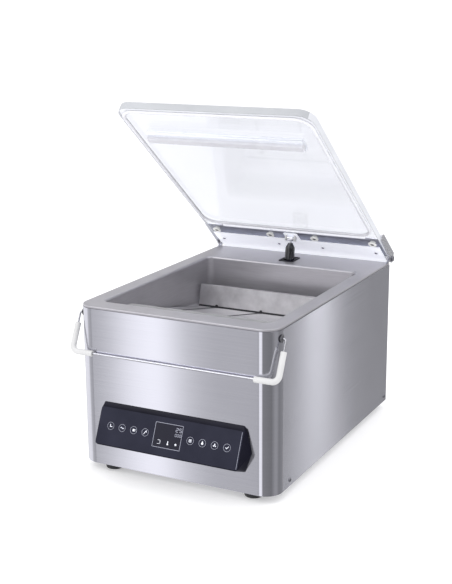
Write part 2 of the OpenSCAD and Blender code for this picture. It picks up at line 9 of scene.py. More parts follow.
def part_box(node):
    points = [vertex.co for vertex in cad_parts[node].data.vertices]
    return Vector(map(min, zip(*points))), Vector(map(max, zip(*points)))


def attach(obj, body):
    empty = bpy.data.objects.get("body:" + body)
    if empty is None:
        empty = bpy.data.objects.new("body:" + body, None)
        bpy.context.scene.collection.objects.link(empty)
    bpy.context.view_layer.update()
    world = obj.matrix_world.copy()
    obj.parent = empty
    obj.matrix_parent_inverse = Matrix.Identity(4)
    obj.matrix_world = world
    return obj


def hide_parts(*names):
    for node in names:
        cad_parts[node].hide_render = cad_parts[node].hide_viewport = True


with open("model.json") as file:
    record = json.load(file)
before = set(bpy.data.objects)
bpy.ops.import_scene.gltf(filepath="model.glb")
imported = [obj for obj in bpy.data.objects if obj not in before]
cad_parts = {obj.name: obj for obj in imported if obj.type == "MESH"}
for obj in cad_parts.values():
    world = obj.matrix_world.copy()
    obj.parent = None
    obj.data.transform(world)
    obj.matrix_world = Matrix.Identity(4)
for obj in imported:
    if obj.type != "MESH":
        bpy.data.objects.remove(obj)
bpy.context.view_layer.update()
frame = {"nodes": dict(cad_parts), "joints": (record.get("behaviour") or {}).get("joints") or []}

# Lengths below are millimetres in the frame of the part they belong to. Each frame's matrix turns
# them into metres in the shared frame.
MM = 0.001
JOINTS = {j["name"]: j for j in frame["joints"]}

casing_low, casing_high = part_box("casing")
BODY_D = (casing_high.y - casing_low.y) / MM
CASING_H = (casing_high.z - casing_low.z) / MM
DECK_Z = (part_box("chamber_tub")[1].z - casing_low.z) / MM
HALF_W = (casing_high.x - casing_low.x) / MM / 2
SCALE = Matrix.Scale(MM, 4)
BODY = Matrix.Translation((0, casing_low.y, casing_low.z)) @ SCALE

LID_OPEN = math.radians(JOINTS["lid_hinge"]["range_deg"][1])
LID = Matrix.Translation(JOINTS["lid_hinge"]["pos_m"]) @ Matrix.Rotation(-LID_OPEN, 4, "X") @ SCALE
LID_IN, LID_OUT = -3.0, 9.0        # the clear panel's inner and outer faces
PIVOT_Y = (JOINTS["lid_hinge"]["pos_m"][1] - casing_low.y) / MM

BAIL_PIVOT = Vector(JOINTS["bail_swing"]["pos_m"])
BAIL_ARM, BAIL_HALF, BAIL_BEND, SLEEVE_R = 62.0, 171.5, 10.0, 4.5
BAIL_LEAN = math.asin((BAIL_PIVOT.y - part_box("bail_sleeves")[0].y - SLEEVE_R * MM) / (BAIL_ARM * MM))
BAIL = Matrix.Translation(BAIL_PIVOT) @ Matrix.Rotation(-BAIL_LEAN, 4, "X") @ SCALE

STRUT_AXIS = Vector(JOINTS["strut_slide"]["axis"])
STRUT_LEAN = math.atan2(STRUT_AXIS.y, STRUT_AXIS.z)
STRUT = Matrix.Translation(JOINTS["strut_lean"]["pos_m"]) @ Matrix.Rotation(-STRUT_LEAN, 4, "X") @ SCALE

# the control panel's sloped face: X to the right, Y up the slope, Z out of it, from its upper edge
FACE_LEAN = math.radians(24)
FACE_TOP = (0.0, -5.0, 99.0)
FACE_LEN = 59.0
FACE_MARGIN = 1.5
FACE_HALF = (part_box("panel_fascia")[1].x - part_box("panel_fascia")[0].x) / MM / 2 + FACE_MARGIN
FACE = BODY @ Matrix.Translation(FACE_TOP) @ Matrix.Rotation(math.pi / 2 - FACE_LEAN, 4, "X")


# ---------------------------------------------------------------- materials

# the part of a noise value's range that a change of tone or gloss spans
TONE_START, TONE_END = 0.3, 0.7
# bump heights in metres
MARK_DEPTH, GRAIN_DEPTH = 0.00004, 0.00005


def new_material(name):
    material = bpy.data.materials.new(name)
    material.use_nodes = True
    nodes = material.node_tree.nodes
    return material, nodes, material.node_tree.links, nodes["Principled BSDF"]


def noise(nodes, links, scale, detail, stretch=(1, 1, 1)):
    """A noise value in object coordinates, stretched per axis."""
    place = nodes.new("ShaderNodeTexCoord")
    mapping = nodes.new("ShaderNodeMapping")
    mapping.inputs["Scale"].default_value = stretch
    texture = nodes.new("ShaderNodeTexNoise")
    texture.inputs["Scale"].default_value = scale
    texture.inputs["Detail"].default_value = detail
    texture.inputs["Roughness"].default_value = 0.55
    links.new(place.outputs["Object"], mapping.inputs["Vector"])
    links.new(mapping.outputs["Vector"], texture.inputs["Vector"])
    return texture.outputs["Fac"]


def map_range(nodes, links, value, start, end, low=0.0, high=1.0, curve="LINEAR"):
    """A value from start to end, spread over low to high."""
    node = nodes.new("ShaderNodeMapRange")
    node.interpolation_type = curve
    node.inputs["From Min"].default_value = start
    node.inputs["From Max"].default_value = end
    node.inputs["To Min"].default_value = low
    node.inputs["To Max"].default_value = high
    links.new(value, node.inputs["Value"])
    return node.outputs["Result"]


def spread(nodes, links, value, middle, share=0.15):
    """A noise value turned into one that varies round middle by the given share."""
    return map_range(nodes, links, value, TONE_START, TONE_END, middle * (1 - share), middle * (1 + share))


def two_tone(nodes, links, value, dark, light):
    """A noise value turned into a colour between dark and light."""
    node = nodes.new("ShaderNodeValToRGB")
    for point, position, color in zip(node.color_ramp.elements, (TONE_START, TONE_END), (dark, light)):
        point.position = position
        point.color = (*color, 1)
    links.new(value, node.inputs["Fac"])
    return node.outputs["Color"]


def bump(nodes, links, shader, height, strength, distance):
    node = nodes.new("ShaderNodeBump")
    node.inputs["Strength"].default_value = strength
    node.inputs["Distance"].default_value = distance
    links.new(height, node.inputs["Height"])
    links.new(node.outputs["Normal"], shader.inputs["Normal"])


def metal(name, dark, light, rough, grain, depth, brushed=None, clouds=9.0, metallic=1.0, painted_glow=0.0):
    """Steel or aluminium. grain stretches the noise, so that the polishing marks run along the axis
    with the smallest number. brushed is the axis that an anisotropic sheet is brushed round, clouds is
    the scale of the haze, and the last argument gives a painted glow: an emission that brightens a sheet that
    faces the floor."""
    material, nodes, links, shader = new_material(name)
    marks = noise(nodes, links, 1.0, 4.0, grain)
    haze = noise(nodes, links, clouds, 2.0)
    tone = nodes.new("ShaderNodeMix")
    tone.data_type = "FLOAT"
    tone.inputs["Factor"].default_value = 0.35
    links.new(marks, tone.inputs["A"])
    links.new(haze, tone.inputs["B"])
    mixed = tone.outputs["Result"]
    links.new(two_tone(nodes, links, mixed, dark, light), shader.inputs["Base Color"])
    links.new(spread(nodes, links, mixed, rough), shader.inputs["Roughness"])
    shader.inputs["Metallic"].default_value = metallic
    # painted glow: an emission of the sheet's own that stands in for light it does not get
    shader.inputs["Emission Color"].default_value = (0.92, 0.93, 1.0, 1)
    shader.inputs["Emission Strength"].default_value = painted_glow
    bump(nodes, links, shader, marks, depth, MARK_DEPTH)
    if brushed:
        shader.inputs["Anisotropic"].default_value = 1.0
        shader.inputs["Anisotropic Rotation"].default_value = 0.25
        tangent = nodes.new("ShaderNodeTangent")
        tangent.direction_type = "RADIAL"
        tangent.axis = brushed
        links.new(tangent.outputs["Tangent"], shader.inputs["Tangent"])
    return material


def plastic(name, dark, light, rough, grain, depth, coat=0.0, specular=0.5):
    """Moulded or painted surface: a fine texture, and slow changes of tone and gloss."""
    material, nodes, links, shader = new_material(name)
    fine = noise(nodes, links, grain, 2.0)
    slow = noise(nodes, links, 25.0, 3.0)
    links.new(two_tone(nodes, links, slow, dark, light), shader.inputs["Base Color"])
    links.new(spread(nodes, links, slow, rough), shader.inputs["Roughness"])
    shader.inputs["Coat Weight"].default_value = coat
    shader.inputs["Coat Roughness"].default_value = 0.08
    shader.inputs["Specular IOR Level"].default_value = specular
    if depth:
        bump(nodes, links, shader, fine, depth, GRAIN_DEPTH)
    return material


def acrylic(name, dark, light, rough, clear, painted_glow=0.0):
    """Cast acrylic: clear on its faces, and satin where it was milled. The last argument gives an edge a
    painted glow, an emission of its own.
    """
    material, nodes, links, shader = new_material(name)
    slow = noise(nodes, links, 14.0, 2.0)
    links.new(two_tone(nodes, links, slow, dark, light), shader.inputs["Base Color"])
    links.new(spread(nodes, links, slow, rough, 0.4), shader.inputs["Roughness"])
    shader.inputs["Transmission Weight"].default_value = clear
    # painted glow: an emission that brightens the edge
    shader.inputs["Emission Color"].default_value = (0.93, 0.94, 1.0, 1)
    shader.inputs["Emission Strength"].default_value = painted_glow
    shader.inputs["IOR"].default_value = 1.49
    return material


def silicone(name, tint):
    """Soft rubber that lets a little light in."""
    material, nodes, links, shader = new_material(name)
    slow = noise(nodes, links, 60.0, 3.0)
    light = tuple(min(1.0, c * 1.05) for c in tint)
    links.new(two_tone(nodes, links, slow, tint, light), shader.inputs["Base Color"])
    links.new(spread(nodes, links, slow, 0.38, 0.2), shader.inputs["Roughness"])
    shader.inputs["Subsurface Weight"].default_value = 0.25
    shader.inputs["Subsurface Radius"].default_value = (0.002, 0.002, 0.002)
    shader.inputs["Subsurface Scale"].default_value = 1.0
    bump(nodes, links, shader, noise(nodes, links, 1200.0, 2.0), 0.08, MARK_DEPTH)
    return material


def glowing(name, color, strength):
    """A plain surface with a little light of its own."""
    material, nodes, links, shader = new_material(name)
    slow = noise(nodes, links, 400.0, 2.0)
    dim = tuple(c * 0.86 for c in color)
    links.new(two_tone(nodes, links, slow, dim, color), shader.inputs["Base Color"])
    shader.inputs["Roughness"].default_value = 0.45
    shader.inputs["Emission Color"].default_value = (*color, 1)
    shader.inputs["Emission Strength"].default_value = strength
    return material


M = {
    "steel": metal("brushed_steel", (0.60, 0.60, 0.66), (0.68, 0.68, 0.74), 0.095, (5, 5, 1500), 0.08,
                   brushed="Z"),
    "tub": metal("tub_steel", (0.47, 0.46, 0.49), (0.56, 0.55, 0.58), 0.40, (30, 30, 400), 0.06,
                 clouds=14.0, metallic=0.72),
    "plates": metal("plate_steel", (0.50, 0.49, 0.51), (0.70, 0.69, 0.71), 0.40, (60, 60, 60), 0.10,
                    clouds=38.0, metallic=0.85),
    # painted glow: the counter bar's aluminium has a little emission that brightens it
    "bar": metal("bar_metal_with_glow", (0.80, 0.82, 0.87), (0.86, 0.88, 0.93), 0.28, (6, 700, 700), 0.05,
                 metallic=0.5, painted_glow=0.10),
    "bright": metal("bright_steel", (0.78, 0.79, 0.84), (0.86, 0.87, 0.92), 0.16, (8, 900, 900), 0.05),
    "wire": metal("wire_steel", (0.56, 0.56, 0.60), (0.66, 0.66, 0.70), 0.24, (60, 60, 60), 0.05),
    # painted glow: the rail's steel has an emission that brightens the channel where it faces the floor
    "rail": metal("rail_metal_with_glow", (0.88, 0.90, 0.95), (0.93, 0.95, 0.985), 0.32, (8, 900, 900), 0.05,
                  metallic=0.2, painted_glow=0.41),
    # painted shade: a darker copy of the rail's steel, for the channel's outer leaf in shadow behind the
    # clear panel
    "leaf": metal("leaf_metal_in_shade", (0.34, 0.34, 0.39), (0.43, 0.43, 0.48), 0.36, (8, 900, 900), 0.05),
    "zinc": metal("zinc_steel", (0.34, 0.34, 0.38), (0.46, 0.46, 0.50), 0.42, (90, 90, 90), 0.15,
                  clouds=45.0),
    "aluminium": metal("aluminium", (0.76, 0.76, 0.80), (0.86, 0.86, 0.90), 0.26, (6, 700, 700), 0.08),
    "cast": metal("cast_metal", (0.24, 0.25, 0.27), (0.36, 0.37, 0.39), 0.55, (500, 500, 500), 0.5,
                  clouds=60.0),
    "copper": metal("copper_wire", (0.60, 0.27, 0.13), (0.78, 0.40, 0.22), 0.32, (20, 20, 1400), 0.5),
    "rubber": plastic("rubber", (0.015, 0.015, 0.018), (0.035, 0.035, 0.04), 0.62, 700.0, 0.3),
    "black": plastic("black_plastic", (0.006, 0.006, 0.013), (0.011, 0.011, 0.022), 0.36, 900.0, 0.22,
                     specular=0.13),
    "gloss_black": plastic("strut_black", (0.004, 0.004, 0.008), (0.008, 0.008, 0.014), 0.10, 500.0, 0.02,
                           coat=1.0),
    "slate": plastic("slate_membrane", (0.014, 0.015, 0.029), (0.020, 0.021, 0.039), 0.34, 1400.0, 0.10,
                     specular=0.22),
    "glass_black": plastic("display_glass", (0.008, 0.008, 0.017), (0.012, 0.012, 0.024), 0.14, 300.0, 0.0,
                           specular=0.3),
    "white": plastic("white_plastic", (0.70, 0.70, 0.70), (0.78, 0.78, 0.78), 0.42, 500.0, 0.10),
    "bushing": plastic("bushing_plastic", (0.07, 0.07, 0.08), (0.10, 0.10, 0.11), 0.40, 900.0, 0.15),
    "sleeve": plastic("white_sleeve", (0.60, 0.60, 0.60), (0.67, 0.67, 0.67), 0.48, 260.0, 0.25),
    "tape": plastic("sealing_tape", (0.30, 0.30, 0.31), (0.38, 0.38, 0.39), 0.45, 1800.0, 0.4),
    "strip": silicone("silicone_strip", (0.72, 0.72, 0.76)),
    "gasket": silicone("silicone_gasket", (0.84, 0.84, 0.88)),
    "acrylic": acrylic("clear_acrylic", (0.84, 0.852, 0.90), (0.862, 0.876, 0.915), 0.04, 1.0),
    "milled": acrylic("milled_acrylic", (0.49, 0.505, 0.53), (0.55, 0.565, 0.585), 0.40, 0.2),
    # painted glow: satin acrylic with an emission, for the panel's sides
    "side_glow": acrylic("acrylic_side_glow", (0.40, 0.41, 0.43), (0.46, 0.47, 0.49), 0.40, 0.2, painted_glow=0.40),
    "board": plastic("circuit_board", (0.02, 0.12, 0.06), (0.03, 0.17, 0.08), 0.35, 900.0, 0.1),
    "paint": plastic("motor_paint", (0.07, 0.08, 0.11), (0.10, 0.11, 0.15), 0.45, 600.0, 0.3),
    "filter": plastic("filter_paint", (0.03, 0.035, 0.05), (0.05, 0.055, 0.075), 0.5, 600.0, 0.3),
    "sight": plastic("oil_glass", (0.55, 0.36, 0.08), (0.70, 0.48, 0.14), 0.08, 200.0, 0.0, coat=1.0),
    "hose": plastic("hose_rubber", (0.10, 0.03, 0.03), (0.16, 0.05, 0.05), 0.55, 500.0, 0.3),
    "red": plastic("red_plastic", (0.50, 0.02, 0.02), (0.62, 0.04, 0.03), 0.30, 700.0, 0.08),
    # painted glow: the nylon bushes, the white print and the grey lines have a little emission that brightens
    # them
    "nylon": glowing("nylon_with_glow", (0.80, 0.80, 0.78), 0.22),
    "print": glowing("print_with_glow", (0.84, 0.86, 0.93), 0.28),
    "line": glowing("line_with_glow", (0.42, 0.43, 0.52), 0.05),
}


# ---------------------------------------------------------------- geometry

def arc(cx, cy, r, start, end, steps):
    """Points on a circle, from start to end in degrees."""
    angles = [math.radians(start + (end - start) * i / steps) for i in range(steps + 1)]
    return [(cx + r * math.cos(a), cy + r * math.sin(a)) for a in angles]


def rounded_rect(x0, y0, x1, y1, radii, steps=16):
    """A closed outline, anticlockwise. radii are front left, front right, rear right, rear left."""
    fl, fr, rr, rl = radii
    return (arc(x0 + fl, y0 + fl, fl, 180, 270, steps) + arc(x1 - fr, y0 + fr, fr, 270, 360, steps)
            + arc(x1 - rr, y1 - rr, rr, 0, 90, steps) + arc(x0 + rl, y1 - rl, rl, 90, 180, steps))


def outward(path, closed):
    """The outward unit normal at each point of an anticlockwise path, scaled for a mitre."""
    n, out = len(path), []
    for i, point in enumerate(path):
        before = path[i - 1] if closed or i else None
        after = path[(i + 1) % n] if closed or i < n - 1 else None
        edges = []
        for a, b in ((before, point), (point, after)):
            if a and b and (Vector(b) - Vector(a)).length > 1e-6:
                d = (Vector(b) - Vector(a)).normalized()
                edges.append(Vector((d.y, -d.x)))
        mean = sum(edges, Vector((0, 0))).normalized()
        out.append(mean / max(0.4, mean.dot(edges[0])))
    return out


def inset(path, distance):
    return [(p[0] - n.x * distance, p[1] - n.y * distance) for p, n in zip(path, outward(path, True))]


def loft(rings, close=False):
    """A skin over rings that have the same number of points, capped or closed into a loop."""
    n, count = len(rings[0]), len(rings)
    verts = [Vector(p) for ring in rings for p in ring]
    faces = []
    for i in range(count if close else count - 1):
        a, b = i * n, (i + 1) % count * n
        faces += [(a + j, a + (j + 1) % n, b + (j + 1) % n, b + j) for j in range(n)]
    if not close:
        faces.append(tuple(reversed(range(n))))
        faces.append(tuple(range((count - 1) * n, count * n)))
    return verts, faces


def swept(path, loop, closed=True):
    """loop holds (outward, up) steps from a plan path, and is carried along it."""
    rings = [[(p[0] + n.x * o, p[1] + n.y * o, z) for o, z in loop]
             for p, n in zip(path, outward(path, closed))]
    return loft(rings, close=closed)


def quarter(steps=6):
    """The angles of a quarter turn."""
    return [math.pi / 2 * k / steps for k in range(steps + 1)]


def slab(outline, low, high, edge):
    """A plate with rounded edges."""
    rings = []
    for z, side in ((low, -1), (high, 1)):
        for a in (quarter(4) if side < 0 else reversed(quarter(4))):
            ring = inset(outline, edge * (1 - math.sin(a)))
            rings.append([(x, y, z - side * edge * (1 - math.cos(a))) for x, y in ring])
    return loft(rings)


def turned(radius, z, j, steps):
    """Point j of a circle round the Z axis."""
    angle = 2 * math.pi * j / steps
    return radius * math.cos(angle), radius * math.sin(angle), z


def lathe(profile, steps=48):
    """A profile of (radius, height) turned round the Z axis."""
    return loft([[turned(max(r, 1e-4), z, j, steps) for j in range(steps)] for r, z in profile])


def turned_ring(profile, steps=48):
    """A closed (radius, height) profile turned round the Z axis."""
    return loft([[turned(r, z, j, steps) for r, z in profile] for j in range(steps)], close=True)


def tube(path, radius, sides):
    """A round bar along 3-D points."""
    points = [Vector(p) for p in path]
    tangents = [(points[min(i + 1, len(points) - 1)] - points[max(i - 1, 0)]).normalized()
                for i in range(len(points))]
    side = tangents[0].orthogonal().normalized()
    rings = []
    for point, tangent in zip(points, tangents):
        side = (side - tangent * side.dot(tangent)).normalized()
        up = tangent.cross(side)
        rings.append([point + (side * math.cos(a) + up * math.sin(a)) * radius
                      for a in (2 * math.pi * j / sides for j in range(sides))])
    return loft(rings)


def block(x0, y0, z0, x1, y1, z1):
    return loft([[(x0, y0, z), (x1, y0, z), (x1, y1, z), (x0, y1, z)] for z in (z0, z1)])


def along_x(profile, x0, x1):
    """A (y, z) profile stretched from x0 to x1."""
    return loft([[(x, y, z) for y, z in profile] for x in (x0, x1)])


def moved(shape, matrix):
    return [matrix @ v for v in shape[0]], shape[1]


def joined(*shapes):
    verts, faces = [], []
    for shape in shapes:
        faces += [tuple(i + len(verts) for i in f) for f in shape[1]]
        verts += list(shape[0])
    return verts, faces


def mirrored(shape):
    """The shape and its mirror image across X."""
    other = [Vector((-v[0], v[1], v[2])) for v in shape[0]], [tuple(reversed(f)) for f in shape[1]]
    return joined(shape, other)


def shift(x, y, z):
    return Matrix.Translation((x, y, z))


def turn(degrees, axis):
    return Matrix.Rotation(math.radians(degrees), 4, axis)


def new_object(name, shape, where, material):
    mesh = bpy.data.meshes.new(name)
    mesh.from_pydata([where @ Vector(v) for v in shape[0]], [], shape[1])
    bm = bmesh.new()
    bm.from_mesh(mesh)
    bmesh.ops.remove_doubles(bm, verts=bm.verts, dist=2e-7)
    bmesh.ops.dissolve_degenerate(bm, edges=bm.edges, dist=1e-8)
    bmesh.ops.recalc_face_normals(bm, faces=bm.faces)
    bm.to_mesh(mesh)
    bm.free()
    mesh.materials.append(material)
    obj = bpy.data.objects.new(name, mesh)
    bpy.context.scene.collection.objects.link(obj)
    return obj


def smooth(obj, angle):
    obj.data.shade_smooth()
    obj.data.set_sharp_from_angle(angle=math.radians(angle))
    even = obj.modifiers.new("even_normals", "WEIGHTED_NORMAL")
    even.keep_sharp = True
    even.weight = 100


def soften(obj, width):
    edge = obj.modifiers.new("edges", "BEVEL")
    edge.width = width * MM
    edge.segments = 2
    edge.limit_method = "ANGLE"
    edge.angle_limit = math.radians(35)
    edge.use_clamp_overlap = True


def cut(obj, where, *shapes):
    """Takes shapes away from a mesh."""
    tool = new_object("cutter", joined(*shapes), where, obj.data.materials[0])
    change = obj.modifiers.new("cut", "BOOLEAN")
    change.operation = "DIFFERENCE"
    change.solver = "EXACT"
    change.object = tool
    graph = bpy.context.evaluated_depsgraph_get()
    result = bpy.data.meshes.new_from_object(obj.evaluated_get(graph))
    obj.modifiers.clear()
    obj.data = result
    bpy.data.objects.remove(tool)


def finish_piece(obj, body, replaces, angle=38):
    """Smooth shading, the body that the piece rides on and the CAD nodes that it replaces."""
    smooth(obj, angle)
    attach(obj, body)
    if replaces:
        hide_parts(*replaces)
    return obj


def piece(name, shape, where, material, body, replaces=(), edge=0.0, cuts=(), angle=38):
    """A mesh piece of the object, in place on its body."""
    obj = new_object(name, shape, where, M[material])
    if cuts:
        cut(obj, where, *cuts)
    if edge:
        soften(obj, edge)
    return finish_piece(obj, body, replaces, angle)


def dress(node, material, edge):
    """A CAD node that keeps its shape: its material, and softened edges."""
    obj = frame["nodes"][node]
    obj.data.materials.clear()
    obj.data.materials.append(M[material])
    weld = obj.modifiers.new("weld", "WELD")
    weld.merge_threshold = 2e-6
    if edge:
        soften(obj, edge)
    even = obj.modifiers.new("even_normals", "WEIGHTED_NORMAL")
    even.keep_sharp = True


# ---------------------------------------------------------------- casing

CORNER_R, SHEET_T = 27.0, 1.5
CHAMBER_HALF, CHAMBER_FRONT, CHAMBER_REAR, CHAMBER_R, CHAMBER_DEPTH = 140, 36, 376, 12, 80
PLATE_FRONT, PLATE_TOP, PLATE_RUN, PLATE_FALL = 118, 216, 204, 42.8      # the sloped filler plates
PLATE_SEAMS = (-100, -15)
PORT = (70, 357)                                                          # the suction port
FEET_X, FEET_Y = (-120, 120), (25, 435)


def casing_shell():
    """The sheet round the front and the sides, with rounded upper and lower edges."""
    path = ([(-HALF_W, BODY_D), (-HALF_W, BODY_D * 0.6), (-HALF_W, BODY_D * 0.3)]
            + arc(-HALF_W + CORNER_R, CORNER_R, CORNER_R, 180, 270, 40)
            + [(-HALF_W * 0.3, 0), (HALF_W * 0.3, 0)]
            + arc(HALF_W - CORNER_R, CORNER_R, CORNER_R, 270, 360, 40)
            + [(HALF_W, BODY_D * 0.3), (HALF_W, BODY_D * 0.6), (HALF_W, BODY_D)])
    r = 0.5
    loop = ([(-r + r * math.cos(a), r + r * math.sin(a)) for a in (-math.pi / 2, -math.pi / 4, 0)]
            + [(-r + r * math.cos(a), CASING_H - r + r * math.sin(a)) for a in (0, math.pi / 4, math.pi / 2)]
            + [(-SHEET_T, CASING_H), (-SHEET_T, 0)])
    piece("casing_shell", swept(path, loop, closed=False), BODY, "steel", "root", ["casing"])


def deck_line(step):
    """The deck's outline, made narrower by step."""
    front, rear = CORNER_R - step, 3 - min(step, 2)
    return rounded_rect(-HALF_W + step, step, HALF_W - step, BODY_D - step, (front, front, rear, rear))


def mouth_line(grow):
    """The chamber's outline, made wider by grow."""
    return rounded_rect(-CHAMBER_HALF - grow, CHAMBER_FRONT - grow, CHAMBER_HALF + grow, CHAMBER_REAR + grow,
                        (CHAMBER_R + grow,) * 4)


def chamber_pan():
    """Tub and deck as one skin: its upper side from the floor out to the edge, then its underside back."""
    top, floor, t = DECK_Z, DECK_Z - CHAMBER_DEPTH, SHEET_T
    lip, foot, middle = 4.0, 9.0, -10       # radii at the mouth and at the floor, and the floor's inner ring
    gap, rim, rim_h = 0.3, 1.2, 2.8         # the deck's rounded edge
    hem, hem_h = 1.6, 10                    # the fold behind the casing's sheet
    over = [(mouth_line(middle), floor), (mouth_line(-foot), floor)]
    over += [(mouth_line(-foot * (1 - math.sin(a))), floor + foot * (1 - math.cos(a))) for a in quarter()[1:]]
    over += [(mouth_line(lip * (1 - math.cos(a))), top - lip + lip * math.sin(a)) for a in quarter()]
    over += [(deck_line(gap + rim * (1 - math.sin(a))), top - rim * (1 - math.cos(a))) for a in quarter(4)]
    under = [(deck_line(gap), top - rim_h), (deck_line(hem), top - rim_h), (deck_line(hem), top - hem_h),
             (deck_line(hem + t), top - hem_h), (deck_line(hem + t), top - t)]
    under += [(mouth_line(lip - (lip - t) * math.sin(a)), top - lip + (lip - t) * math.cos(a))
              for a in quarter()]
    under += [(mouth_line((foot + t) * math.cos(a) - foot), floor + foot - (foot + t) * math.sin(a))
              for a in quarter()]
    under += [(mouth_line(middle), floor - t)]
    shape = loft([[(x, y, z) for x, y in line] for line, z in over + under])
    slot = block(-10.5, 398, top - 6, 10.5, 428, top + 5)
    port = moved(lathe([(6, -5), (6, 5)]), shift(*PORT, floor))
    notches = mirrored(block(160.8, 450, top - 12, 163.9, 480, top + 8))
    piece("chamber_pan", shape, BODY, "tub", "root", ["chamber_tub"], cuts=(slot, port, notches))


def chamber_shade_strips():
    """Painted shade: black strips of rubber under the baffle and between the sloped plates, standing in for
    the shadow in their gaps.
    """
    line = [(326.9, 170.1), (328.05, 170.1), (329.06, 174.3), (328.36, 174.5)]
    section = ((-1, 0), (1, 0), (0.9, 0.5), (-0.9, 0.5))
    widths = ((140, 1.0), (180, 1.4), (215, 1.9), (250, 2.4), (285, 3.0), (306, 3.5), (318, 4.0))
    seam = [[(side * w, y, PLATE_TOP - (y - PLATE_FRONT) * PLATE_FALL / PLATE_RUN + rise)
             for side, rise in section] for y, w in widths]
    stop = [[(-w, y, z), (w, y, z), (w, y + 0.9, z), (-w, y + 0.9, z)]
            for w, y, z in ((4.5, 326.9, 170.1), (3.4, 327.7, 173.4), (1.6, 328.5, 176.6))]
    ends = [moved(loft(rings), shift(x, 0, 0)) for x in PLATE_SEAMS for rings in (stop, seam)]
    piece("chamber_shade_strips", joined(along_x(line, -134.5, 134.5), *ends), BODY, "rubber", "root")


def cross_recess(size, depth, top):
    """Two crossed slots, for the head of a screw that points up Z."""
    half = 0.45
    return (block(-size, -half, top - depth, size, half, top + 1),
            block(-half, -size, top - depth, half, size, top + 1))


def screw_head(radius, height, shank):
    profile = [(0, -shank), (1.6, -shank), (1.6, 0)] if shank else [(0, 0)]
    profile += [(radius * math.cos(a * 0.96), height * math.sin(a)) for a in quarter()]
    return lathe(profile + [(0, height)], 32)


def screws(name, places, radius, height, where, material, body, replaces=(), shank=0.0):
    """Pan-head screws with cross recesses. Each place is a matrix whose Z is the way the head points."""
    obj = new_object(name, joined(*[moved(screw_head(radius, height, shank), at) for at in places]), where,
                     M[material])
    for bar in cross_recess(radius * 0.62, height * 0.8, height):
        cut(obj, where, *[moved(bar, at) for at in places])
    finish_piece(obj, body, replaces)


def fittings():
    sides = [shift(s * HALF_W, y, 10) @ turn(s * 90, "Y") for y in (52, 455) for s in (-1, 1)]
    screws("side_screws", sides, 3.4, 1.6, BODY, "zinc", "root", ["casing_screws"], 3.0)
    foot = lathe([(0, -8), (3.8, -8), (4, -11.7), (4.3, -12), (12.4, -12), (13.8, -11.2), (14.4, -9.8),
                  (14.4, -8), (13.4, -1.2), (12.6, -0.3), (11.5, 0), (0, 0)])
    rib = turned_ring([(14.0, -6.6), (14.5, -6.2), (14.5, -5.2), (14.0, -4.8)])
    places = [shift(x, y, 0) for x in FEET_X for y in FEET_Y]
    piece("feet", joined(*[moved(joined(foot, rib), at) for at in places]), BODY, "rubber", "root",
          ["rubber_feet"])
    heads = [at @ shift(0, 0, -8) @ turn(180, "X") for at in places]
    screws("foot_screws", heads, 3.2, 1.8, BODY, "zinc", "root")


# ---------------------------------------------------------------- lid

LID_FRONT, LID_HALF, LID_R, LID_BACK = 22 - PIVOT_Y, 164.0, 24.0, 9
RAIL_HALF, RAIL_T, ARM_T, ARM_X = 159, 1.2, 2.2, 100
BOLT_X, BOLT_S = (-148, -42, 42, 148), 56
SCREW_X, SCREW_S = (-146, -36, 48, 146), 24


def lid_line():
    """The clear panel's outline, narrower where it is in the rail."""
    front, step = LID_FRONT + LID_R, -13
    return (arc(-LID_HALF + LID_R, front, LID_R, 180, 270, 28)
            + arc(LID_HALF - LID_R, front, LID_R, 270, 360, 28)
            + [(LID_HALF, step), (RAIL_HALF, step), (RAIL_HALF, LID_BACK),
               (-RAIL_HALF, LID_BACK), (-RAIL_HALF, step), (-LID_HALF, step)])


def gasket_path():
    return rounded_rect(-157, 30.5 - PIVOT_Y, 157, 383 - PIVOT_Y, (23,) * 4)


def folded(centreline, thickness):
    """A closed profile of a folded sheet along an open centreline."""
    sides = []
    for sign in (1, -1):
        row = []
        for p, n in zip(centreline, outward(centreline, False)):
            row.append((p[0] + sign * n.x * thickness / 2, p[1] + sign * n.y * thickness / 2))
        sides.append(row)
    return sides[0] + list(reversed(sides[1]))


def clear_lid():
    """The panel, clear on its faces, satin on its milled edges, with a painted glow on its sides, and its
    gasket.
    """
    groove = swept(gasket_path(), [(3, -4), (3, -1), (-3, -1), (-3, -4)])
    holes = [moved(lathe([(4.5, -5), (4.5, 12)], 32), shift(x, -BOLT_S, 0)) for x in BOLT_X]
    lid = piece("clear_lid", slab(lid_line(), LID_IN, LID_OUT, 1.0), LID, "acrylic", "lid",
                ["lid_panel"], cuts=(groove, *holes))
    for finish in ("milled", "side_glow"):
        lid.data.materials.append(M[finish])
    up = LID.to_3x3().normalized() @ Vector((0, 0, 1))
    for face in lid.data.polygons:
        if abs(face.normal.dot(up)) < 0.9:
            # the sides across X take the glowing material: painted glow
            face.material_index = 2 if abs(face.normal.x) > 0.7 else 1
    lip = ([(3.03, -0.97), (-3.03, -0.97)]
           + [(-3.03 * math.cos(math.pi * k / 8), -3.2 - 2.4 * math.sin(math.pi * k / 8)) for k in range(9)])
    piece("lid_seal", swept(gasket_path(), lip), LID, "gasket", "lid", ["lid_gasket"])


